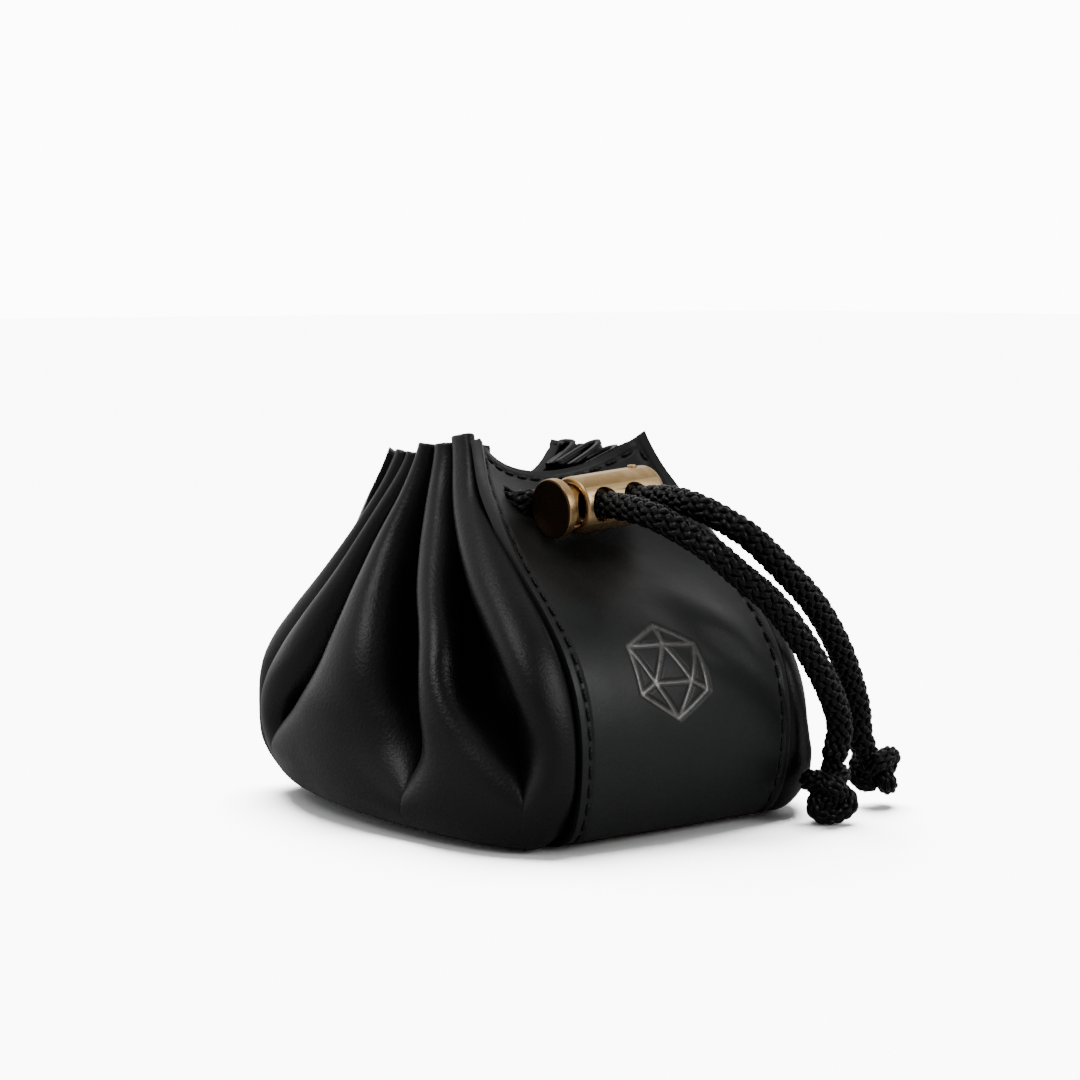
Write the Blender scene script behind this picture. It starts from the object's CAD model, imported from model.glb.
# A drawstring dice bag in black leather: a stiff band folded into a U, a soft pleated gusset at
# each side, a braided drawstring and a sprung two-hole cord lock of antique brass.
import math

import bmesh
import bpy
import numpy as np
from mathutils import Matrix, Vector


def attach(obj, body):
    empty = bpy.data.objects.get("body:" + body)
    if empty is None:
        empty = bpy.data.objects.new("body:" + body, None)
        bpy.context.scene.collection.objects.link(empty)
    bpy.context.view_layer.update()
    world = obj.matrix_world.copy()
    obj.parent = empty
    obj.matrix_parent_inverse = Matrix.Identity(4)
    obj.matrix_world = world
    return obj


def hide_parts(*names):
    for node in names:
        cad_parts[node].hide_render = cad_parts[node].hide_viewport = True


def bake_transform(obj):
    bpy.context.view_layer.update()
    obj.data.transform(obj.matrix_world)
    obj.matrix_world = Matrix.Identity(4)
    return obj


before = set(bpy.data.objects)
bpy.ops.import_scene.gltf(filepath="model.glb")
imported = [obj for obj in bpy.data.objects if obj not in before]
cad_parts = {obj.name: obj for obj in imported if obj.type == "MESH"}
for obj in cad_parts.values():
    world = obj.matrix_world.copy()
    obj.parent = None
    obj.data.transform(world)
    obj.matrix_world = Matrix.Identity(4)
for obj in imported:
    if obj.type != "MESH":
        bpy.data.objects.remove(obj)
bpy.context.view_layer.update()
MM = 0.001

# ------------------------------------------------------------------------------ camera
# A long portrait lens a little above the table, looking at the bag's front left corner.
CAMERA_DISTANCE = 0.55
aim = Vector((0, 0, 38)) * MM
towards_camera = Vector((-0.629, -0.768, 0.120)).normalized()
lens = bpy.data.cameras.new("portrait_lens")
lens.lens = 92.4
lens.sensor_width = 36
lens.shift_x = 0.0132
lens.shift_y = 0.0676
camera = bpy.data.objects.new("camera", lens)
camera.location = aim + CAMERA_DISTANCE * towards_camera
camera.rotation_euler = towards_camera.to_track_quat("Z", "Y").to_euler()
bpy.context.scene.collection.objects.link(camera)
bpy.context.scene.camera = camera

# ------------------------------------------------------------------------------ drawstring
# Round black cord, 5.4 mm across, braided from sixteen flat bundles of spun polyester over a soft
# core. Both ends come out of the lock's front and drape to the table, and each ends in a knot.
BRAID_RADIUS = 2.7 * MM
BRAID_STEP = 0.32 * MM
BRAID_PITCH = 27 * MM       # one bundle goes once round the cord in this length
BUNDLES = 8                 # each way round
BUNDLE_WIDTH = 1.42 * MM
BUNDLE_THICK = 0.95 * MM
BUNDLE_WEAVE = 0.36 * MM    # how far a bundle dips under the ones that it crosses

LEFT_ROUTE = np.array([
    (-4, -29.6, 61.6), (-4, -38, 61), (-3.4, -45, 59.3), (-0.6, -53, 55.2), (4.2, -56.5, 50.2),
    (12.1, -58.5, 43.5), (22.7, -58.5, 31.9), (31.2, -56.2, 20.4), (32.2, -54, 12.7),
]) * MM
RIGHT_ROUTE = np.array([
    (3.6, -29.6, 62.2), (3.4, -38, 62.9), (3.4, -46, 61.9), (5.5, -51.5, 59.5), (9.6, -54.5, 56.1),
    (17, -55.5, 49.8), (25.6, -55, 42.7), (34.5, -53, 33.2), (42, -50.3, 22.3),
    (44.9, -48.6, 15.2), (46.9, -47.9, 12),
]) * MM
HOLE_PLACES = (-4 * MM, 3.6 * MM)    # the lock's two holes, across the bag
LOCK_BACK = -17.1 * MM
SQUEEZE = 1.25 * MM
SQUEEZED_SHARE = 0.6
LOOP_HALF = np.array([
    (-4, -29.1, 61.6), (-4, -24, 61.6), (-4, -18.2, 61.6), (-6.4, -15.4, 61.6), (-11, -15.7, 61.5),
    (-14.8, -13.4, 61.4), (-16.4, -8.2, 61.2), (-17.8, -3, 61), (-18, 3, 60.5), (-16, 8.4, 60),
    (-9, 7.6, 59.5), (0, 6, 59.5),
]) * MM


def linear(colour):
    """A colour such as "#1a1b1c" as the linear values that a shader takes."""
    shares = [int(colour[i:i + 2], 16) / 255 for i in (1, 3, 5)]
    return tuple(s / 12.92 if s < 0.04045 else ((s + 0.055) / 1.055) ** 2.4 for s in shares) + (1,)


def add_node(tree, kind, inputs=None, **settings):
    """A shader node with its settings, and its sockets set or linked."""
    made = tree.nodes.new("ShaderNode" + kind)
    for name, value in settings.items():
        setattr(made, name, value)
    for socket, value in (inputs or {}).items():
        if isinstance(value, bpy.types.NodeSocket):
            tree.links.new(value, made.inputs[socket])
        else:
            made.inputs[socket].default_value = value
    return made


def new_material(name):
    """An empty node material, its tree and its output."""
    material = bpy.data.materials.new(name)
    material.use_nodes = True
    material.node_tree.nodes.clear()
    return material, material.node_tree, material.node_tree.nodes.new("ShaderNodeOutputMaterial")


def spline(points, at):
    """Points on a smooth line through the given ones, at shares from 0 to 1."""
    last = len(points) - 1
    at = np.clip(at, 0, 1) * last
    i = np.minimum(at.astype(int), last - 1)
    f = (at - i)[..., None]
    before, start, end, after = (points[np.clip(i + k, 0, last)] for k in (-1, 0, 1, 2))
    leave = (end - before) / 2
    arrive = (after - start) / 2
    cubic = 2 * start - 2 * end + leave + arrive
    square = 3 * end - 3 * start - 2 * leave - arrive
    return ((cubic * f + square) * f + leave) * f + start


def even_path(points, spacing):
    """Evenly spaced points along a smooth line through the given ones."""
    fine = spline(points, np.linspace(0, 1, 60 * len(points)))
    run = np.append(0, np.cumsum(np.linalg.norm(np.diff(fine, axis=0), axis=1)))
    even = np.linspace(0, run[-1], round(run[-1] / spacing) + 1)
    return np.stack([np.interp(even, run, fine[:, k]) for k in range(3)], axis=1), run[-1]


def unit(vectors):
    """The vectors at a length of one."""
    return vectors / np.maximum(np.linalg.norm(vectors, axis=-1, keepdims=True), 1e-12)


def add_grid(mesh, placed):
    """A grid of faces in a bmesh, its corners moved to an array of places."""
    columns, rows = placed.shape[:2]
    made = bmesh.ops.create_grid(
        mesh, x_segments=columns - 1, y_segments=rows - 1, size=1, calc_uvs=True)
    for vert in made["verts"]:
        i = round((vert.co.x + 1) / 2 * (columns - 1))
        j = round((vert.co.y + 1) / 2 * (rows - 1))
        vert.co = placed[i, j]
    return made["verts"]


def new_bmesh():
    """An empty bmesh with a UV map."""
    mesh = bmesh.new()
    mesh.loops.layers.uv.new("UVMap")
    return mesh


def make_piece(name, mesh, material):
    """A bmesh as a named, smooth-shaded object with a material."""
    data = bpy.data.meshes.new(name)
    for face in mesh.faces:
        face.smooth = True
    mesh.to_mesh(data)
    mesh.free()
    data.materials.append(material)
    piece = bpy.data.objects.new(name, data)
    bpy.context.scene.collection.objects.link(piece)
    return piece


def braided(name, points, radius=BRAID_RADIUS):
    """A round braid along a smooth line, and the points that it follows."""
    path, length = even_path(points, BRAID_STEP)
    along = np.linspace(0, length, len(path))[:, None]
    ahead = unit(np.gradient(path, axis=0))
    side = np.zeros_like(path)
    side[0] = unit(np.cross(ahead[0], (0.1, 0.2, 1)))
    for i in range(1, len(path)):
        turned = side[i - 1] - ahead[i] * side[i - 1].dot(ahead[i])
        side[i] = turned / np.linalg.norm(turned)
    up = np.cross(ahead, side)
    share = radius / BRAID_RADIUS
    middle = radius - (BUNDLE_THICK / 2 + BUNDLE_WEAVE) * share
    pitch = BRAID_PITCH * share
    lean = math.atan(2 * math.pi * middle / pitch)
    mesh = new_bmesh()
    round_bundle = np.linspace(0, 2 * math.pi, 7)[None, :, None]
    for bundle in range(2 * BUNDLES):
        way = 1 if bundle < BUNDLES else -1
        angle = way * 2 * math.pi * along / pitch + 2 * math.pi * bundle / BUNDLES
        out = side * np.cos(angle) + up * np.sin(angle)
        across = up * np.cos(angle) - side * np.sin(angle)
        weave = way * np.cos(2 * math.pi * BUNDLES * along / pitch)
        centre = path + out * (middle + BUNDLE_WEAVE * share * weave)
        flat = across * math.cos(lean) - ahead * way * math.sin(lean)
        placed = centre[:, None] + share / 2 * (
            flat[:, None] * BUNDLE_WIDTH * np.cos(round_bundle)
            + out[:, None] * BUNDLE_THICK * np.sin(round_bundle))
        add_grid(mesh, placed)
    around = np.linspace(0, 2 * math.pi, 13)[None, :, None]
    core = middle * (side[:, None] * np.cos(around) + up[:, None] * np.sin(around)) * 0.95
    add_grid(mesh, (path[:, None] + core)[::2])
    bmesh.ops.remove_doubles(mesh, verts=mesh.verts, dist=1e-7)
    rims = [edge for edge in mesh.edges if edge.is_boundary]
    bmesh.ops.holes_fill(mesh, edges=rims, sides=0)
    bmesh.ops.recalc_face_normals(mesh, faces=mesh.faces)
    return make_piece(name, mesh, braid_polyester), path


# Spun polyester: fine parallel filaments in each bundle give a soft, broken sheen.
braid_polyester, tree, output = new_material("braided_polyester_cord")
place = add_node(tree, "TexCoord")
filaments = add_node(
    tree, "TexWave", {"Vector": place.outputs["UV"], "Scale": 3.2, "Distortion": 0.6},
    wave_type="BANDS", bands_direction="Y")
# loose fibres of 0.2 mm, coarser than the real ones so that they show
fuzz = add_node(tree, "TexNoise", {"Vector": place.outputs["Object"], "Scale": 5000, "Detail": 3})
relief = add_node(
    tree, "Math", {0: filaments.outputs["Fac"], 1: fuzz.outputs["Fac"]}, operation="ADD")
bump = add_node(
    tree, "Bump", {"Height": relief.outputs[0], "Strength": 0.35, "Distance": 0.08 * MM})
patches = add_node(tree, "TexNoise", {"Vector": place.outputs["Object"], "Scale": 400, "Detail": 2})
colour = add_node(
    tree, "Mix", {0: patches.outputs["Fac"], 6: linear("#020202"), 7: linear("#060607")},
    data_type="RGBA")
shader = add_node(tree, "BsdfPrincipled", {
    "Base Color": colour.outputs[2], "Roughness": 0.27, "Specular IOR Level": 0.24,
    "Normal": bump.outputs["Normal"]})
tree.links.new(shader.outputs[0], output.inputs[0])


def knot_line(centre, size, arrive, leave, turn):
    """An overhand knot pulled tight: one trefoil, open where its two ends leave it."""
    t = np.linspace(0.32, 2 * math.pi - 0.32, 34)
    lobes = np.stack([
        (np.sin(t) + 2 * np.sin(2 * t)) / 3 * size,
        (np.cos(t) - 2 * np.cos(2 * t)) / 3 * size,
        -np.sin(3 * t) * size * 0.62], axis=1)
    lobes = lobes @ np.array(Matrix.Rotation(turn[2], 3, "Z") @ Matrix.Rotation(turn[1], 3, "Y")
                             @ Matrix.Rotation(turn[0], 3, "X")).T
    return np.vstack([[arrive], lobes + centre, [leave]])


left_cord, left_path = braided("cord_left_braid", LEFT_ROUTE)
right_cord, right_path = braided("cord_right_braid", RIGHT_ROUTE)
left_knot, _ = braided("knot_left_braid", knot_line(
    np.array((31, -54, 6.1)) * MM, 4.2 * MM, LEFT_ROUTE[-1], np.array((29, -52.5, 1.9)) * MM,
    (1.2, 0.2, 0.4)), 2.2 * MM)
right_knot, _ = braided("knot_right_braid", knot_line(
    np.array((51, -47.4, 7.4)) * MM, 3.7 * MM, RIGHT_ROUTE[-1], np.array((54, -46, 5)) * MM,
    (1.0, 0.4, 1.9)), 2.1 * MM)

# the loop's right half mirrors its left one, apart from its way through the lock's second hole
loop_right = LOOP_HALF[-2::-1] * (-1, 1, 1)
loop_right[loop_right[:, 1] < LOCK_BACK] += np.array((-0.4, 0, 0.6)) * MM
loop, loop_path = braided("drawstring_loop_braid", np.vstack([LOOP_HALF, loop_right]))
# the lock's stem squeezes the cord into the left part of each of its holes
for vert in loop.data.vertices:
    hole = HOLE_PLACES[0] if vert.co.x < 0 else HOLE_PLACES[1]
    inside = 1 - min(1, max(0, (vert.co.y + 17.9 * MM) / (1.2 * MM)))
    inside = inside * inside * (3 - 2 * inside)
    squeezed = hole - SQUEEZE + (vert.co.x - hole) * SQUEEZED_SHARE
    vert.co.x += (squeezed - vert.co.x) * inside

for knot, node in ((left_knot, "knot_left"), (right_knot, "knot_right")):
    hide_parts(node)
    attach(knot, "pouch")
for cord, node in ((left_cord, "cord_left"), (right_cord, "cord_right")):
    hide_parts(node)
    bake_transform(cord)
# a piece that joins the band bends with it: still below the start, and with the panel at the end
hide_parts("drawstring_loop")
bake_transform(loop)

# ------------------------------------------------------------------------------ band
# One strip of firm 2 mm leather, folded into a U: the front, the bottom and the back. Its surface
# is smooth and waxed, its cut edges are burnished, and a plain die outline is pressed into it.
FRONT_OUTLINE = np.array([
    (-40, 0), (-44.6, 3), (-47.3, 10), (-48, 20), (-46.5, 29), (-43, 36.5),
    (-37.5, 43.2), (-30.5, 50), (-22.5, 59), (-16, 66.5), (-11.8, 74)]) * MM
BACK_OUTLINE = np.array([
    (40, 0), (44.6, 3.4), (47.6, 11), (48, 19), (46.2, 26.5), (42, 33),
    (36, 39.5), (29.5, 46.5), (24.5, 54), (20.5, 62), (17, 71)]) * MM
HALF_WIDTHS = np.array([(25.2,), (26,), (26.2,), (26.2,), (25.8,), (25,), (23.6,), (20.8,)]) * MM
BAND_THICK = 2 * MM
SCOOP = 8.5 * MM            # how far the mouth edge dips between its horns
MOUTH_BOW = 9.5 * MM        # how far the drawn cord pulls the middle of the mouth inwards
BELLY = 1.5 * MM
STITCH_INSET = 2 * MM
STITCH_PITCH = 3.5 * MM
CORD_HOLE = 2.8 * MM        # the radius of the drawstring's holes
MARK_CENTRE = (-3.4 * MM, 35.5 * MM)
MARK_RADIUS = 9.3 * MM
MARK_DEPTH = 0.5 * MM
MARK_LINE = 0.46 * MM
STITCH_GROOVE = (0.55 * MM, 0.3 * MM)    # half its width, and its depth
CREASE_CENTRE = (3 * MM, 43 * MM)
CREASE_WAY = (0.814, -0.581)             # down to the right
CREASE_DEPTH = 1.5 * MM
FINE = np.linspace(0, 1, 401)


def smooth(x):
    """A soft step from 0 to 1."""
    x = np.clip(x, 0, 1)
    return x * x * (3 - 2 * x)


def outline_table(outline):
    """Fine places along an outline, and how far along it each is."""
    fine = spline(outline, FINE)
    run = np.append(0, np.cumsum(np.linalg.norm(np.diff(fine, axis=0), axis=1)))
    return fine, run


FRONT = outline_table(FRONT_OUTLINE)
BACK = outline_table(BACK_OUTLINE)


def along_outline(table, t):
    """The y and z of an outline at shares of its length."""
    fine, run = table
    at = np.clip(t, 0, 1) * run[-1]
    return np.interp(at, run, fine[:, 0]), np.interp(at, run, fine[:, 1])


def half_width(t):
    """Half the band's width, from 0 at a fold to 1 at the mouth."""
    return spline(HALF_WIDTHS, t)[..., 0]


def mouth_bow(z):
    """How far the middle of a panel is drawn inwards at a height."""
    return MOUTH_BOW * smooth((z - 38 * MM) / (27.5 * MM))


def panel_places(table, u, v):
    """Places on a panel's outside: u is -1 to 1 across it, v is 0 at the fold, 1 at the mouth."""
    t = v * (1 - SCOOP / table[1][-1] * (1 - u * u))
    y, z = along_outline(table, t)
    inwards = -1 if table is BACK else 1
    belly = BELLY * np.sin(np.pi * np.minimum(1, v * 1.3))
    y = y + inwards * (mouth_bow(z) - belly) * (1 - u * u)
    return np.stack([u * half_width(t), y, z], axis=-1)


def band_places(u, q):
    """Places on the band: q runs from 0 at the front mouth to 1, 2 at the folds, 3 at the back."""
    front = panel_places(FRONT, u, np.clip(1 - q, 0, 1))
    back = panel_places(BACK, u, np.clip(q - 2, 0, 1))
    y = FRONT_OUTLINE[0, 0] + np.clip(q - 1, 0, 1) * (BACK_OUTLINE[0, 0] - FRONT_OUTLINE[0, 0])
    base = np.stack([u * HALF_WIDTHS[0, 0], y, 0 * y], axis=-1)
    pick = q[..., None]
    return np.where(pick < 1, front, np.where(pick > 2, back, base))


def normals(placed):
    """The unit normals of a grid of places."""
    return unit(np.cross(np.gradient(placed, axis=0), np.gradient(placed, axis=1)))


def groove(distance, half, depth):
    """A rounded channel at a distance from its middle."""
    return depth * (1 - smooth((np.abs(distance) - half * 0.5) / half))


def spread(stops):
    """Positions that step evenly between stops, each a place and the number of steps to it."""
    places = [stops[0][0]]
    for place, count in stops[1:]:
        places += list(np.linspace(places[-1], place, count + 1)[1:])
    return np.array(places)


def segment_distance(x, y, a, b):
    """How far each place is from the line between two points."""
    ax, ay = a
    dx, dy = b[0] - ax, b[1] - ay
    share = np.clip(((x - ax) * dx + (y - ay) * dy) / (dx * dx + dy * dy), 0, 1)
    return np.hypot(x - ax - share * dx, y - ay - share * dy)


# the strip's grid is finest along its stitch grooves and under the mark
front_length = FRONT[1][-1]
edge_in = STITCH_INSET / (26 * MM)
us = spread([(-1, 0), (-1 + edge_in * 0.45, 2), (-1 + edge_in * 1.55, 8), (-0.56, 8), (0.28, 66),
             (1 - edge_in * 1.55, 12), (1 - edge_in * 0.45, 8), (1, 2)])
rim = STITCH_INSET / front_length
qs = spread([(0, 0), (rim * 0.45, 2), (rim * 1.55, 8), (0.38, 30), (0.72, 96), (1, 26), (2, 30),
             (3 - rim * 1.55, 84), (3 - rim * 0.45, 8), (3, 2)])
u, q = np.meshgrid(us, qs, indexing="ij")
band = band_places(u, q)
flat = normals(band)
# soften the creases at the two folds
for _ in range(6):
    for j in range(1, len(qs) - 1):
        if abs(qs[j] - 1) < 0.05 or abs(qs[j] - 2) < 0.05:
            band[:, j] = (band[:, j - 1] + 2 * band[:, j] + band[:, j + 1]) / 4
v = np.where(q < 1, 1 - q, np.where(q > 2, q - 2, 0))
t = v * (1 - SCOOP / front_length * (1 - u * u))
from_side = (1 - np.abs(u)) * half_width(t)
from_mouth = (1 - v) * front_length
sink = groove(from_side - STITCH_INSET, *STITCH_GROOVE)
hem = groove(from_mouth - STITCH_INSET, *STITCH_GROOVE) * (np.abs(u) < 0.9)
sink = np.maximum(sink * (v > 0), hem)
# the pressed mark: the outline of a twenty-sided die, with its nearest face inside
x = band[..., 0] - MARK_CENTRE[0]
height = np.interp(1 - q[0], FINE, along_outline(FRONT, FINE)[1])
climb = np.append(0, np.cumsum(np.linalg.norm(np.diff(band[len(us) // 2], axis=0), axis=1)))
middle = np.interp(-MARK_CENTRE[1], -height, climb)
y = (middle - climb)[None, :] + 0 * x
corners = [(MARK_RADIUS * math.sin(math.pi * k / 3), MARK_RADIUS * math.cos(math.pi * k / 3))
           for k in range(6)]
face = [(0.55 * px, 0.55 * py) for px, py in corners[::2]]
lines = list(zip(corners, corners[1:] + corners[:1])) + list(zip(face, face[1:] + face[:1]))
lines += [(face[k // 2], corners[(k + turn) % 6]) for k in (0, 2, 4) for turn in (-1, 0, 1)]
nearby = np.min([segment_distance(x, y, a, b) for a, b in lines], axis=0)
pressed = groove(nearby, MARK_LINE, MARK_DEPTH) * (q < 1)
sink = np.maximum(sink, pressed)
# a soft crease runs down to the right of the mark, and the sheet is slowly uneven all over
across_mark = band[..., 0] - CREASE_CENTRE[0]
above_mark = band[..., 2] - CREASE_CENTRE[1]
along_crease = across_mark * CREASE_WAY[0] + above_mark * CREASE_WAY[1]
above_crease = above_mark * CREASE_WAY[0] - across_mark * CREASE_WAY[1]
dent = -CREASE_DEPTH * above_crease / (3.4 * MM) * np.exp(-(above_crease / (4.2 * MM)) ** 2)
dent *= np.exp(-((along_crease - 9 * MM) / (10 * MM)) ** 2) * (q < 1)
dent *= smooth((from_side - 4 * MM) / (5 * MM))
uneven = 0.18 * MM * (np.sin(band[..., 0] / (7.3 * MM) + 1.1) * np.sin(climb / (9.1 * MM))[None, :])
uneven = uneven * np.where((q > 0.98) & (q < 2.02), 0, 1)
band = band + flat * (sink + dent + uneven)[..., None]

mesh = new_bmesh()
foil = mesh.verts.layers.float.new("foil")
corner_places = add_grid(mesh, band)
leaf = 1 - smooth((nearby - 0.22 * MM) / (0.36 * MM))
leaf = (leaf * (q < 1)).ravel(order="F")
for vert, amount in zip(corner_places, leaf):
    vert[foil] = amount
bmesh.ops.reverse_faces(mesh, faces=mesh.faces)

# Firm cowhide, pigmented black and waxed: a low satin sheen, fine closed grain and soft scuffs.
band_hide, tree, output = new_material("waxed_cowhide")
place = add_node(tree, "TexCoord")
# pores and grain cells of 0.45 mm
grain = add_node(
    tree, "TexVoronoi", {"Vector": place.outputs["Object"], "Scale": 1 / (0.45 * MM)},
    feature="SMOOTH_F1")
slow = add_node(tree, "TexNoise", {"Vector": place.outputs["Object"], "Scale": 90, "Detail": 5})
fine = add_node(
    tree, "TexNoise", {"Vector": place.outputs["Object"], "Scale": 1 / (0.9 * MM), "Detail": 6})
both = add_node(
    tree, "Math", {0: grain.outputs["Distance"], 1: 0.5, 2: fine.outputs["Fac"]},
    operation="MULTIPLY_ADD")
bump = add_node(
    tree, "Bump", {"Height": both.outputs[0], "Strength": 0.22, "Distance": 0.08 * MM})
wave = add_node(
    tree, "Bump", {"Height": slow.outputs["Fac"], "Strength": 0.5, "Distance": 0.5 * MM,
                   "Normal": bump.outputs["Normal"]})
tone = add_node(
    tree, "Mix", {0: slow.outputs["Fac"], 6: linear("#111212"), 7: linear("#1c1d1e")},
    data_type="RGBA")
# burnished and rubbed along every outer edge
rubbed = add_node(tree, "NewGeometry")
worn = add_node(
    tree, "MapRange", {0: rubbed.outputs["Pointiness"], 1: 0.52, 2: 0.6, 3: 0.0, 4: 0.6})
rubbed_tone = add_node(
    tree, "Mix", {0: worn.outputs[0], 6: tone.outputs[2], 7: linear("#1f1e1d")}, data_type="RGBA")
# the pressed lines hold silver leaf, thin and slightly worn
leaf_edge = add_node(tree, "Attribute", attribute_name="foil")
leaf_worn = add_node(
    tree, "MapRange", {0: fine.outputs["Fac"], 1: 0.25, 2: 0.45, 3: 0.55, 4: 1.0})
silver = add_node(
    tree, "Math", {0: leaf_edge.outputs["Fac"], 1: leaf_worn.outputs[0]}, operation="MULTIPLY")
colour = add_node(
    tree, "Mix", {0: silver.outputs[0], 6: rubbed_tone.outputs[2], 7: linear("#7d7c7a")},
    data_type="RGBA")
gloss = add_node(
    tree, "MapRange", {0: slow.outputs["Fac"], 1: 0.3, 2: 0.7, 3: 0.38, 4: 0.52})
shader = add_node(tree, "BsdfPrincipled", {
    "Base Color": colour.outputs[2], "Roughness": gloss.outputs[0], "Specular IOR Level": 0.42,
    "Metallic": silver.outputs[0], "Normal": wave.outputs["Normal"]})
tree.links.new(shader.outputs[0], output.inputs[0])

band_piece = make_piece("band_strip", mesh, band_hide)


def wall(piece, thick, round_edge=0.0):
    """Gives a surface its thickness inwards, with rounded rims, and applies it."""
    solid = piece.modifiers.new("wall", "SOLIDIFY")
    solid.thickness = thick
    solid.offset = -1
    if round_edge:
        rounded = piece.modifiers.new("rims", "BEVEL")
        rounded.width = round_edge
        rounded.segments = 2
        rounded.limit_method = "ANGLE"
        rounded.angle_limit = math.radians(60)
    apply_modifiers(piece)


def apply_modifiers(piece):
    """Bakes a piece's modifiers into its mesh."""
    shown = piece.evaluated_get(bpy.context.evaluated_depsgraph_get())
    finished = bpy.data.meshes.new_from_object(shown)
    piece.modifiers.clear()
    piece.data = finished


def cut_with(piece, cutters):
    """Cuts the shapes out of a piece, and removes them."""
    for cutter in cutters:
        cut = piece.modifiers.new("cut", "BOOLEAN")
        cut.operation = "DIFFERENCE"
        cut.solver = "EXACT"
        cut.object = cutter
    apply_modifiers(piece)
    for cutter in cutters:
        bpy.data.objects.remove(cutter)


def tube(name, path, radius, sides=16):
    """A plain round tube along a path of points, closed at both ends."""
    ahead = unit(np.gradient(path, axis=0))
    side = unit(np.cross(ahead, (0.13, 0.21, 1)))
    up = np.cross(ahead, side)
    around = np.linspace(0, 2 * math.pi, sides + 1)[None, :, None]
    mesh = new_bmesh()
    add_grid(mesh, path[:, None] + radius * (
        side[:, None] * np.cos(around) + up[:, None] * np.sin(around)))
    bmesh.ops.remove_doubles(mesh, verts=mesh.verts, dist=1e-7)
    rims = [edge for edge in mesh.edges if edge.is_boundary]
    bmesh.ops.holes_fill(mesh, edges=rims, sides=0)
    bmesh.ops.recalc_face_normals(mesh, faces=mesh.faces)
    return make_piece(name, mesh, band_hide)


wall(band_piece, BAND_THICK, 0.35 * MM)


def cut_cord_holes(piece):
    """Cuts the drawstring's two holes, along its own route through the front panel."""
    through = (loop_path[:, 1] < -9 * MM) & (np.abs(loop_path[:, 0]) > 8.5 * MM)
    cut_with(piece, [tube("hole", loop_path[through & (loop_path[:, 0] * side > 0)][::4], CORD_HOLE)
                     for side in (-1, 1)])


cut_cord_holes(band_piece)
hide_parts("band_front", "band_base_and_back")
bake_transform(band_piece)

# ------------------------------------------------------------------------------ linings
# Thin split suede, glued inside the front and the back of the band, short of its edges.
LINING_THICK = 1 * MM
GLUE_GAP = 0.3 * MM
split_suede, tree, output = new_material("split_suede")
place = add_node(tree, "TexCoord")
nap = add_node(
    tree, "TexNoise", {"Vector": place.outputs["Object"], "Scale": 1 / (0.6 * MM), "Detail": 8})
bump = add_node(tree, "Bump", {"Height": nap.outputs["Fac"], "Strength": 0.7, "Distance": 0.2 * MM})
tone = add_node(
    tree, "Mix", {0: nap.outputs["Fac"], 6: linear("#0b0b0b"), 7: linear("#232322")},
    data_type="RGBA")
shader = add_node(tree, "BsdfPrincipled", {
    "Base Color": tone.outputs[2], "Roughness": 0.95, "Specular IOR Level": 0.2,
    "Sheen Weight": 0.3, "Sheen Roughness": 0.6, "Normal": bump.outputs["Normal"]})
tree.links.new(shader.outputs[0], output.inputs[0])

for end, table, flip in (("front", FRONT, 1), ("back", BACK, -1)):
    u, v = np.meshgrid(np.linspace(-0.8, 0.8, 41), np.linspace(0.06, 0.975, 91), indexing="ij")
    placed = panel_places(table, u, v)
    inward = normals(placed) * -flip
    placed = placed + inward * (BAND_THICK + GLUE_GAP)
    mesh = new_bmesh()
    add_grid(mesh, placed)
    if flip < 0:
        bmesh.ops.reverse_faces(mesh, faces=mesh.faces)
    lining = make_piece("lining_" + end + "_suede", mesh, split_suede)
    wall(lining, LINING_THICK, 0.2 * MM)
    if end == "front":
        cut_cord_holes(lining)
    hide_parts("lining_" + end)
    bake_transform(lining)

# ------------------------------------------------------------------------------ seam strips
# The seam's raw allowance between the band and the gusset: cut leather, flush with the band's
# edge, with loose fibres where the knife went through. It is glued and sewn.
STRIP_WIDTH = 4.2 * MM
STRIP_THICK = 1.5 * MM
STRIP_ROWS = 260
FOLD_HALF_WIDTH = HALF_WIDTHS[0, 0]
cut_fibres, tree, output = new_material("raw_cut_leather_edge")
place = add_node(tree, "TexCoord")
fibres = add_node(
    tree, "TexNoise", {"Vector": place.outputs["Object"], "Scale": 1 / (0.35 * MM), "Detail": 7,
                       "Roughness": 0.7})
bump = add_node(
    tree, "Bump", {"Height": fibres.outputs["Fac"], "Strength": 0.9, "Distance": 0.25 * MM})
tone = add_node(
    tree, "Mix", {0: fibres.outputs["Fac"], 6: linear("#080808"), 7: linear("#262422")},
    data_type="RGBA")
shader = add_node(tree, "BsdfPrincipled", {
    "Base Color": tone.outputs[2], "Roughness": 0.9, "Specular IOR Level": 0.15,
    "Normal": bump.outputs["Normal"]})
tree.links.new(shader.outputs[0], output.inputs[0])

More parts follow.
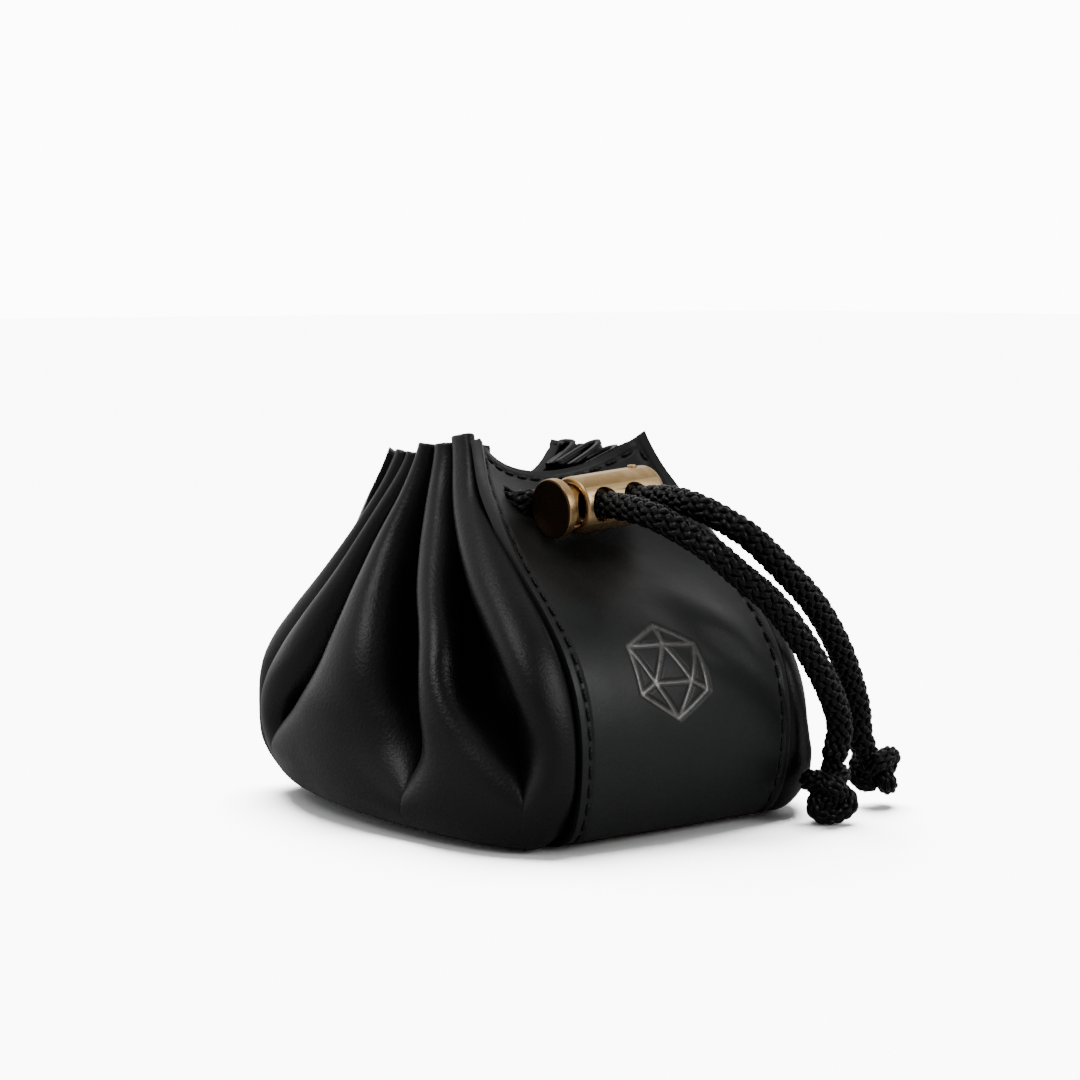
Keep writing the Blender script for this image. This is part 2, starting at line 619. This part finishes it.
ragged = np.random.default_rng(7)
for end, table in (("front", FRONT), ("back", BACK)):
    for name, side in (("left", -1), ("right", 1)):
        reach = 1 - np.linspace(STRIP_WIDTH, 0.12 * MM, 6) / FOLD_HALF_WIDTH
        u, v = np.meshgrid(side * reach, np.linspace(0.03, 0.992, STRIP_ROWS), indexing="ij")
        placed = panel_places(table, u, v)
        inward = normals(placed) * (-side if end == "front" else side)
        placed = placed + inward * (BAND_THICK - 0.02 * MM)
        placed[-1, :, 0] += side * 0.1 * MM * ragged.uniform(-2, 0.6, STRIP_ROWS)
        mesh = new_bmesh()
        add_grid(mesh, placed)
        if (side > 0) == (end == "front"):
            bmesh.ops.reverse_faces(mesh, faces=mesh.faces)
        strip = make_piece("strip_" + name + "_" + end, mesh, cut_fibres)
        wall(strip, STRIP_THICK)
        for vert in strip.data.vertices:
            vert.co.z = max(vert.co.z, 0.3 * MM)
        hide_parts("welt_" + name + "_" + end)
        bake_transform(strip)

# ------------------------------------------------------------------------------ stitching
# Waxed black thread, 0.8 mm thick, pulled down into a pressed groove 2 mm inside each edge.
THREAD_RADIUS = 0.4 * MM
STITCH_HALF = 1.32 * MM
STITCH_SUNK = 0.12 * MM
waxed_thread, tree, output = new_material("waxed_polyester_thread")
place = add_node(tree, "TexCoord")
twist = add_node(
    tree, "TexWave", {"Vector": place.outputs["Object"], "Scale": 0.314 / (0.5 * MM)},
    wave_type="BANDS", bands_direction="DIAGONAL")
bump = add_node(
    tree, "Bump", {"Height": twist.outputs["Fac"], "Strength": 0.6, "Distance": 0.1 * MM})
tone = add_node(
    tree, "Mix", {0: twist.outputs["Fac"], 6: linear("#030303"), 7: linear("#0e0e0f")},
    data_type="RGBA")
shader = add_node(tree, "BsdfPrincipled", {
    "Base Color": tone.outputs[2], "Roughness": 0.5, "Specular IOR Level": 0.35,
    "Normal": bump.outputs["Normal"]})
tree.links.new(shader.outputs[0], output.inputs[0])


def sew(name, places, outward, node):
    """A row of stitches along evenly spaced places on the leather."""
    mesh = new_bmesh()
    run = np.append(0, np.cumsum(np.linalg.norm(np.diff(places, axis=0), axis=1)))
    count = int(run[-1] / STITCH_PITCH)
    for k in range(count):
        at = (k + 0.5) * run[-1] / count
        spot = Vector([np.interp(at, run, places[:, c]) for c in range(3)])
        ends = [Vector([np.interp(at + d * MM, run, places[:, c]) for c in range(3)])
                for d in (-1, 1)]
        up = Vector([np.interp(at, run, outward[:, c]) for c in range(3)]).normalized()
        ahead = (ends[1] - ends[0]).normalized()
        across = up.cross(ahead).normalized()
        up = ahead.cross(across)
        turn = Matrix((ahead * STITCH_HALF, across * THREAD_RADIUS, up * THREAD_RADIUS))
        where = Matrix.Translation(spot - up * STITCH_SUNK) @ turn.transposed().to_4x4()
        bmesh.ops.create_uvsphere(mesh, u_segments=8, v_segments=7, radius=1, matrix=where)
    bmesh.ops.recalc_face_normals(mesh, faces=mesh.faces)
    row = make_piece(name, mesh, waxed_thread)
    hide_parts(node)
    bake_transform(row)


for end, table in (("front", FRONT), ("back", BACK)):
    us, vs = np.linspace(-1, 1, 61), np.linspace(0.02, 1, 121)
    u, v = np.meshgrid(us, vs, indexing="ij")
    outward = normals(panel_places(table, u, v)) * (1 if end == "front" else -1)
    for name, side in (("left", -1), ("right", 1)):
        t = vs * (1 - SCOOP / table[1][-1] * 0.15)
        across = side * (1 - STITCH_INSET / half_width(t))
        seam = panel_places(table, across[1:-3], vs[1:-3])
        column = 57 if side > 0 else 3
        sew("stitches_" + name + "_" + end, seam, outward[column, 1:-3],
            "thread_" + name + "_" + end)
    hem = panel_places(table, us[4:-4], 1 - STITCH_INSET / table[1][-1] + 0 * us[4:-4])
    sew("stitches_mouth_" + end, hem, outward[4:-4, -3], "thread_mouth_" + end)

# ------------------------------------------------------------------------------ gussets
# Soft 1.1 mm nappa, one piece for each side, sewn in behind the band's edges. The drawn cord
# gathers its top into five deep pleats, which open into pockets lower down and die away in a
# smooth bowl that rests on the table.
NAPPA_THICK = 1.1 * MM
SEAM_DEPTH = 3.4 * MM
BULGE = 18.4 * MM           # how far the bowl swells past the band's edge
PLEAT_DEPTH = 9.5 * MM
# each recess between two pleats: at the heights in RECESS_HEIGHTS, how far round the gusset it
# runs and half its opening, and the height of its lower tip
RECESS_HEIGHTS = np.array([0, 9, 14, 18, 22, 30, 39, 56, 66, 74]) * MM
RECESSES = (
    ((0.10, 0.10, 0.11, 0.135, 0.17, 0.225, 0.24, 0.29, 0.32, 0.328),
     np.array((0.1, 0.1, 2.0, 4.6, 6.2, 6.4, 3.8, 0.8, 0.3, 0.1)) * MM, 8.5 * MM),
    ((0.386, 0.386, 0.386, 0.39, 0.40, 0.412, 0.43, 0.505, 0.515, 0.505),
     np.array((0.1, 0.1, 1.8, 3.8, 5.2, 6.3, 5.4, 2.8, 0.9, 0.1)) * MM, 5.5 * MM),
    ((0.77, 0.77, 0.76, 0.74, 0.70, 0.645, 0.655, 0.71, 0.665, 0.635),
     np.array((0.1, 0.1, 0.6, 1.6, 2.4, 2.8, 2.6, 1.2, 0.4, 0.1)) * MM, 11 * MM),
    ((0.87, 0.87, 0.87, 0.87, 0.86, 0.83, 0.83, 0.84, 0.81, 0.787),
     np.array((0.1, 0.1, 0.3, 0.6, 1.0, 1.2, 1.2, 0.5, 0.2, 0.1)) * MM, 13 * MM),
)
PLEAT_LIFTS = np.array((2.0, 0.9, 1.5, 0.0, 0.5)) * MM   # how unevenly their tops end


def seam_line(table):
    """The band's outline moved inwards to where the gusset is sewn."""
    fine, run = table
    ahead = unit(np.gradient(fine, axis=0))
    side = np.where(fine[:, :1] < 0, 1, -1)
    moved = fine + side * SEAM_DEPTH * np.stack([ahead[:, 1], -ahead[:, 0]], axis=1)
    moved[:, 0] += side[:, 0] * 0.08 * mouth_bow(fine[:, 1])
    return moved, run


FRONT_SEAM = seam_line(FRONT)
BACK_SEAM = seam_line(BACK)


def gusset_places(side, w, v):
    """The plain bowl of a gusset: w is 0 at its front seam and 1 at its back, v is its height."""
    swell = np.maximum(np.sin(np.pi * w), 0) ** (0.6 + 0.25 * w)
    share = (1 - np.cos(np.pi * w)) / 2
    front = along_outline(FRONT_SEAM, v)
    back = along_outline(BACK_SEAM, v)
    y = front[0] + (back[0] - front[0]) * share
    z = front[1] + (back[1] - front[1]) * share
    # full and flat at the front of the bowl, rounder and lifted towards its back
    fullness = 5.2 - 3.0 * smooth(w * 1.05)
    widest = (14 + 6 * smooth(w)) * MM if side < 0 else (10 + 6 * smooth(w)) * MM
    low = np.clip((z - SEAM_DEPTH) / widest, 0, 1)
    out = BULGE * (1 - (1 - low) ** fullness) ** (1 / fullness)
    high = smooth((z - SEAM_DEPTH - 18 * MM) / (50 * MM))
    if side > 0:
        high = np.clip((z - SEAM_DEPTH - widest) / (72 * MM - widest), 0, 1) ** 0.85
    out = (out + (0.6 * MM - out) * high) * swell
    if side > 0:
        # the soft bowl behind the front seam slumps into a low, blunt point
        near = 1 - smooth((w - 0.12) / 0.5)
        slump = smooth((z - 2 * MM) / (8 * MM)) * (1 - smooth((z - 12 * MM) / (24 * MM)))
        hollow = smooth((z - 20 * MM) / (12 * MM)) * (1 - smooth((z - 40 * MM) / (20 * MM)))
        out = out + near * swell * (3.4 * slump - 3.6 * hollow) * MM
    sag = (SEAM_DEPTH - 0.4 * MM) * (1 - 0.35 * w) * smooth(out / (6 * MM)) * (
        1 - smooth(z / (18 * MM)))
    return np.stack([side * (half_width(v) - 0.3 * MM + out), y, z - sag], axis=-1)


def pleat_profile(length, middles, halves, depths, end_depth, push):
    """Places across a row: how far round it, and how far in, through five pleats."""
    round_, into = [], []
    starts = np.append(0, middles + halves)
    stops = np.append(middles - halves, length)
    lefts = np.append(end_depth, depths)
    rights = np.append(depths, end_depth)
    turn = np.linspace(-np.pi / 2, np.pi / 2, 27)
    for pleat in range(5):
        centre = (starts[pleat] + stops[pleat]) / 2
        half = (stops[pleat] - starts[pleat]) / 2
        across = np.sign(np.sin(turn)) * np.abs(np.sin(turn)) ** 0.86
        rise = np.cos(turn) ** 0.8
        fall = np.where(turn < 0, lefts[pleat], rights[pleat]) * (1 - rise)
        if pleat in (0, 4):
            # the end pleats swell forwards, level with the band's face
            near = (turn / np.pi + 0.5) if pleat == 0 else (0.5 - turn / np.pi)
            fall = fall - push * np.sin(np.pi * near ** 0.6)
        round_ += list(centre + half * across)
        into += list(fall)
        if pleat < 4:
            floor = np.linspace(-1, 1, 9)[1:-1]
            round_ += list(middles[pleat] + halves[pleat] * floor)
            into += list(depths[pleat] + 0.7 * halves[pleat] * (1 - floor ** 2))
    return np.array(round_), np.array(into)


def soft_interp(height, values):
    """A smooth line through values at the recess heights."""
    near = np.linspace(-3.5, 3.5, 9) * MM
    return np.mean(np.interp(height + near, RECESS_HEIGHTS, values))


def pleated(side):
    """A whole gusset as an array of places."""
    fine_v = np.linspace(0.0, 1, 1500)
    middle = gusset_places(side, 0.45 + 0 * fine_v, fine_v)
    run = np.append(0, np.cumsum(np.linalg.norm(np.diff(middle, axis=0), axis=1)))
    vs = np.interp(np.linspace(0.003 * run[-1], run[-1], 150), run, fine_v)
    ws = np.linspace(0.004, 0.996, 241)
    w, v = np.meshgrid(ws, vs, indexing="ij")
    base = gusset_places(side, w, v)
    outward = normals(base) * side
    rows = []
    for j in range(len(vs)):
        line = base[:, j]
        round_ = np.append(0, np.cumsum(np.linalg.norm(np.diff(line, axis=0), axis=1)))
        height = line[108, 2]
        middles, halves, depths = [], [], []
        for ways, openings, tip in RECESSES:
            middles.append(np.interp(soft_interp(height, ways), ws, round_))
            halves.append(soft_interp(height, openings))
            fall = smooth((height - tip) / (12 * MM)) ** 0.8
            depths.append((PLEAT_DEPTH + 0.5 * halves[-1]) * fall + 1e-6)
        gap = 0.5 * MM * smooth((height - 4 * MM) / (8 * MM))
        push = 2.3 * MM * smooth((height - 1 * MM) / (12 * MM)) * (
            1 - 0.85 * smooth((height - 44 * MM) / (22 * MM)))
        across, into = pleat_profile(
            round_[-1], np.array(middles), np.array(halves), np.array(depths), gap, push)
        place = np.stack([np.interp(across, round_, line[:, c]) for c in range(3)], axis=1)
        out = np.stack([np.interp(across, round_, outward[:, j, c]) for c in range(3)], axis=1)
        out = unit(out)
        row = place - out * into[:, None]
        peaks = np.append(0, np.arange(5) * 34 + 13)
        lifts = PLEAT_LIFTS if side < 0 else PLEAT_LIFTS[::-1] - 1.2 * MM
        lift = np.interp(np.arange(len(row)), peaks, np.append(lifts[0], lifts))
        row[:, 2] += lift * smooth((vs[j] - 0.86) / 0.14)
        rows.append(row)
    return np.stack(rows, axis=1)


nappa, tree, output = new_material("soft_nappa_leather")
place = add_node(tree, "TexCoord")
# fine wrinkles 1 mm apart, bent by a slower noise, over a pebble of 0.8 mm
bend = add_node(tree, "TexNoise", {"Vector": place.outputs["Object"], "Scale": 300, "Detail": 2})
bent = add_node(
    tree, "VectorMath", {0: bend.outputs["Color"], 1: (2.4 * MM,) * 3, 2: place.outputs["Object"]},
    operation="MULTIPLY_ADD")
wrinkle_cells = add_node(
    tree, "TexVoronoi", {"Vector": bent.outputs[0], "Scale": 1 / (1.0 * MM)},
    feature="DISTANCE_TO_EDGE")
creases = add_node(
    tree, "MapRange", {0: wrinkle_cells.outputs["Distance"], 1: 0.0, 2: 0.22})
pebble = add_node(
    tree, "TexVoronoi", {"Vector": place.outputs["Object"], "Scale": 1 / (0.8 * MM)},
    feature="SMOOTH_F1")
deep = add_node(
    tree, "Bump", {"Height": creases.outputs[0], "Strength": 0.16, "Distance": 0.1 * MM})
bump = add_node(
    tree, "Bump", {"Height": pebble.outputs["Distance"], "Strength": 0.3, "Distance": 0.1 * MM,
                   "Normal": deep.outputs["Normal"]})
slow = add_node(tree, "TexNoise", {"Vector": place.outputs["Object"], "Scale": 70, "Detail": 4})
tone = add_node(
    tree, "Mix", {0: slow.outputs["Fac"], 6: linear("#050506"), 7: linear("#0b0b0c")},
    data_type="RGBA")
gloss = add_node(
    tree, "MapRange", {0: slow.outputs["Fac"], 1: 0.3, 2: 0.7, 3: 0.3, 4: 0.46})
shader = add_node(tree, "BsdfPrincipled", {
    "Base Color": tone.outputs[2], "Roughness": gloss.outputs[0], "Specular IOR Level": 0.33,
    "Normal": bump.outputs["Normal"]})
tree.links.new(shader.outputs[0], output.inputs[0])

for name, side in (("left", -1), ("right", 1)):
    mesh = new_bmesh()
    add_grid(mesh, pleated(side))
    if side > 0:
        bmesh.ops.reverse_faces(mesh, faces=mesh.faces)
    gusset = make_piece("gusset_" + name + "_nappa", mesh, nappa)
    wall(gusset, NAPPA_THICK)
    # its underside clears the table by a hair
    for vert in gusset.data.vertices:
        vert.co.z += 0.2 * MM * max(1 - vert.co.z / (3 * MM), 0)
    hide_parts("gusset_" + name)
    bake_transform(gusset)

# ------------------------------------------------------------------------------ cord lock
# A turned brass barrel with two cross holes, antiqued and tumbled so that its edges shine. The
# button's stem has the same two holes, and a spring holds them out of line to grip the cord.
LOCK_PLACE = (Matrix.Translation((0, -23.6 * MM, 61.9 * MM))
              @ Matrix.Rotation(math.radians(-4.5), 4, "Y"))
BARREL_RADIUS = 5.5 * MM
BARREL_LEFT = -8.5 * MM
BARREL_RIGHT = 11.4 * MM
BORE_RADIUS = 4.25 * MM
BORE_END = 10.2 * MM
HOLE_RADIUS = 3.35 * MM
STEM_RADIUS = 3.9 * MM
HEAD_LEFT = -13.4 * MM
HEAD_RIGHT = -11.2 * MM
HEAD_RADIUS = 5.7 * MM
BUTTON_TRAVEL = 2.5 * MM
PIN_PLACE = 7.4 * MM
SPRING_START = 5.95 * MM
SPRING_LENGTH = 3.6 * MM
SPRING_RADIUS = 2.6 * MM
SPRING_TURNS = 4


def rounded_corner(x, r, radius, start, stop, steps=6):
    """Places round a corner's arc, as x and r, between two angles in degrees."""
    angles = np.radians(np.linspace(start, stop, steps))
    return [(x + radius * math.cos(a), r + radius * math.sin(a)) for a in angles]


def turned(name, profile, material):
    """A piece turned round the lock's axis from a profile of x and r."""
    mesh = bmesh.new()
    corners = [mesh.verts.new((x, 0, r)) for x, r in profile]
    edges = [mesh.edges.new(pair) for pair in zip(corners, corners[1:])]
    bmesh.ops.spin(mesh, geom=corners + edges, cent=(0, 0, 0), axis=(1, 0, 0),
                   angle=2 * math.pi, steps=96, use_merge=True)
    bmesh.ops.remove_doubles(mesh, verts=mesh.verts, dist=1e-6)
    bmesh.ops.recalc_face_normals(mesh, faces=mesh.faces)
    bmesh.ops.transform(mesh, matrix=LOCK_PLACE, verts=mesh.verts)
    return make_piece(name, mesh, material)


def cross_pin(name, x, radius, low, high, way):
    """A round bar across the lock, along its own Y or Z."""
    mesh = bmesh.new()
    turn = Matrix.Rotation(math.pi / 2, 4, "X") if way == "Y" else Matrix.Identity(4)
    middle = (x, (low + high) / 2, 0) if way == "Y" else (x, 0, (low + high) / 2)
    bmesh.ops.create_cone(
        mesh, cap_ends=True, segments=48, radius1=radius, radius2=radius, depth=high - low,
        matrix=LOCK_PLACE @ Matrix.Translation(middle) @ turn)
    return make_piece(name, mesh, antique_brass)


def soften_rims(piece, width):
    """Breaks the sharp edges, and keeps the flats flat."""
    rounded = piece.modifiers.new("rims", "BEVEL")
    rounded.width = width
    rounded.segments = 3
    rounded.limit_method = "ANGLE"
    rounded.angle_limit = math.radians(38)
    apply_modifiers(piece)


def brass_material(name, dark, light, rough):
    """Tumbled metal: dark in its hollows, light on its rims and in slow patches."""
    material, tree, output = new_material(name)
    place = add_node(tree, "TexCoord")
    slow = add_node(
        tree, "TexNoise", {"Vector": place.outputs["Object"], "Scale": 260, "Detail": 5})
    tumbled = add_node(
        tree, "TexNoise",
        {"Vector": place.outputs["Object"], "Scale": 1 / (0.25 * MM), "Detail": 6})
    rubbed = add_node(tree, "NewGeometry")
    worn = add_node(
        tree, "MapRange", {0: rubbed.outputs["Pointiness"], 1: 0.5, 2: 0.56, 3: 0.0, 4: 1.0})
    spots = add_node(
        tree, "MapRange", {0: slow.outputs["Fac"], 1: 0.35, 2: 0.65, 3: 0.0, 4: 0.6})
    most = add_node(
        tree, "Math", {0: worn.outputs[0], 1: spots.outputs[0]}, operation="MAXIMUM")
    tone = add_node(
        tree, "Mix", {0: most.outputs[0], 6: linear(dark), 7: linear(light)}, data_type="RGBA")
    gloss = add_node(
        tree, "MapRange", {0: tumbled.outputs["Fac"], 1: 0.3, 2: 0.7, 3: rough, 4: rough + 0.14})
    bump = add_node(
        tree, "Bump", {"Height": tumbled.outputs["Fac"], "Strength": 0.12, "Distance": 0.05 * MM})
    shader = add_node(tree, "BsdfPrincipled", {
        "Base Color": tone.outputs[2], "Metallic": 1.0, "Roughness": gloss.outputs[0],
        "Normal": bump.outputs["Normal"]})
    tree.links.new(shader.outputs[0], output.inputs[0])
    return material


# Antique brass: darkened chemically, then tumbled, which brings back bright edges.
antique_brass = brass_material("antique_brass", "#a88450", "#eecb96", 0.28)
# The button's face keeps its brown patina.
brown_patina = brass_material("patinated_brass", "#46352a", "#6b5238", 0.26)
# Drawn spring steel wire.
spring_steel = brass_material("drawn_spring_steel", "#77787a", "#b4b6b8", 0.25)

barrel = turned("lock_barrel_brass", (
    [(BARREL_LEFT + 0.3 * MM, BORE_RADIUS)]
    + rounded_corner(BARREL_LEFT + 0.6 * MM, BARREL_RADIUS - 0.6 * MM, 0.6 * MM, 180, 90)
    + rounded_corner(BARREL_RIGHT - 1.4 * MM, BARREL_RADIUS - 1.4 * MM, 1.4 * MM, 90, 8, 9)
    + [(BARREL_RIGHT, 3.6 * MM), (BARREL_RIGHT, 0), (BORE_END, 0), (BORE_END, BORE_RADIUS),
       (BARREL_LEFT + 0.3 * MM, BORE_RADIUS)]), antique_brass)
cut_with(barrel, [cross_pin("hole", x, HOLE_RADIUS, -12 * MM, 12 * MM, "Y") for x in HOLE_PLACES]
         + [cross_pin("hole", PIN_PLACE, 1.15 * MM, 0, 11 * MM, "Z")])
soften_rims(barrel, 0.28 * MM)
button = turned("lock_button_brass", (
    [(HEAD_LEFT + 0.1 * MM, 0), (HEAD_LEFT + 0.1 * MM, HEAD_RADIUS - 0.72 * MM)]
    + rounded_corner(HEAD_LEFT + 0.42 * MM, HEAD_RADIUS - 0.42 * MM, 0.42 * MM, 180, 90)
    + rounded_corner(HEAD_RIGHT - 0.7 * MM, HEAD_RADIUS - 0.7 * MM, 0.7 * MM, 90, 0)
    + [(HEAD_RIGHT, STEM_RADIUS), (5.3 * MM, STEM_RADIUS), (5.3 * MM, 0)]), antique_brass)
cut_with(button, [cross_pin("hole", x - BUTTON_TRAVEL, HOLE_RADIUS, -12 * MM, 12 * MM, "Y")
                  for x in HOLE_PLACES])
soften_rims(button, 0.2 * MM)
button.data.materials.append(brown_patina)
lock_axis = LOCK_PLACE.inverted()
for face in button.data.polygons:
    middle = lock_axis @ face.center
    if middle.x < HEAD_LEFT + 0.3 * MM and math.hypot(middle.y, middle.z) < HEAD_RADIUS - 0.12 * MM:
        face.material_index = 1
pin = cross_pin("lock_pin_brass", PIN_PLACE, 0.8 * MM, 4.35 * MM, 5.9 * MM, "Z")
soften_rims(pin, 0.15 * MM)
for piece in (barrel, button, pin):
    for face in piece.data.polygons:
        face.use_smooth = True
    piece.data.set_sharp_from_angle(angle=math.radians(35))
turns = np.linspace(0, SPRING_TURNS, 161)
coil = np.stack([SPRING_START + turns / SPRING_TURNS * SPRING_LENGTH,
                 SPRING_RADIUS * np.cos(2 * np.pi * turns),
                 SPRING_RADIUS * np.sin(2 * np.pi * turns)], axis=1)
coil = np.array([LOCK_PLACE @ Vector(point) for point in coil])
spring = tube("lock_spring_steel", coil, 0.3 * MM, 8)
spring.data.materials.clear()
spring.data.materials.append(spring_steel)
for piece, node, slot, body in (
    (barrel, "lock_barrel", "antique_brass", "lock"),
    (button, "lock_plunger", "antique_brass", "plunger"),
    (pin, "retaining_pin", "antique_brass", "lock"),
    (spring, "lock_spring", "spring_steel", "lock"),
):
    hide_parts(node)
    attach(piece, body)

# ------------------------------------------------------------------------------ table and light
# A plain white table under a white studio tent. A wide lamp overhead lights the table alone, so
# that it stays white, and the tent and two soft lamps light the bag.
white_paint, tree, output = new_material("matt_white_table")
place = add_node(tree, "TexCoord")
mottle = add_node(
    tree, "TexNoise", {"Vector": place.outputs["Object"], "Scale": 30, "Detail": 2})
tint = add_node(
    tree, "Mix", {0: mottle.outputs["Fac"], 6: linear("#f2f2f2"), 7: linear("#f6f6f6")},
    data_type="RGBA")
shader = add_node(
    tree, "BsdfPrincipled", {"Base Color": tint.outputs[2], "Roughness": 0.8,
                             "Specular IOR Level": 0.1})
tree.links.new(shader.outputs[0], output.inputs[0])
tables = {}
for name, below in (("table_top", 0.05 * MM), ("table_bounce", 0.3 * MM)):
    table = bmesh.new()
    bmesh.ops.create_grid(table, x_segments=1, y_segments=1, size=6)
    bmesh.ops.translate(table, vec=(0, 0, -below), verts=table.verts)
    tables[name] = make_piece(name, table, white_paint)
tables["table_top"].visible_diffuse = False
tables["table_top"].visible_glossy = False
tables["table_bounce"].visible_camera = False
tables["table_bounce"].visible_shadow = False

tent = bpy.data.worlds.new("studio_tent")
bpy.context.scene.world = tent
tent.use_nodes = True
tree = tent.node_tree
backdrop = add_node(tree, "Background", {"Color": (1, 1, 1, 1), "Strength": 12.0})
place = add_node(tree, "TexCoord")
facing = add_node(
    tree, "VectorMath", {0: place.outputs["Generated"], 1: (0.2, 0.95, -0.2)},
    operation="DOT_PRODUCT")
cloth = add_node(
    tree, "MapRange", {0: facing.outputs["Value"], 1: -0.7, 2: 1.0, 3: 0.2, 4: 1.3})
walls = add_node(tree, "Background", {"Color": (1, 1, 1, 1), "Strength": cloth.outputs[0]})
seen = add_node(tree, "LightPath")
both = add_node(
    tree, "MixShader",
    {0: seen.outputs["Is Camera Ray"], 1: walls.outputs[0], 2: backdrop.outputs[0]})
tree.links.new(both.outputs[0], tree.nodes["World Output"].inputs[0])

only_table = bpy.data.collections.new("lit_by_table_lamp")
only_table.objects.link(tables["table_top"])
overhead = bpy.data.lights.new("table_lamp", "SUN")
overhead.energy = 36
overhead.angle = math.radians(48)
overhead_stand = bpy.data.objects.new("table_lamp", overhead)
overhead_stand.rotation_euler = Vector((0.2, 0.3, 1.0)).to_track_quat("Z", "Y").to_euler()
bpy.context.scene.collection.objects.link(overhead_stand)
overhead_stand.light_linking.receiver_collection = only_table
for name, size, power, stand in (
        ("key_lamp", 0.7, 6.5, (-0.9, -0.2, 1.3)), ("front_lamp", 0.6, 4.6, (0.36, -0.98, 0.58))):
    lamp = bpy.data.lights.new(name, "AREA")
    lamp.size = size
    lamp.energy = power
    lamp_stand = bpy.data.objects.new(name, lamp)
    lamp_stand.location = stand
    lamp_stand.rotation_euler = (Vector(stand) - aim).to_track_quat("Z", "Y").to_euler()
    bpy.context.scene.collection.objects.link(lamp_stand)
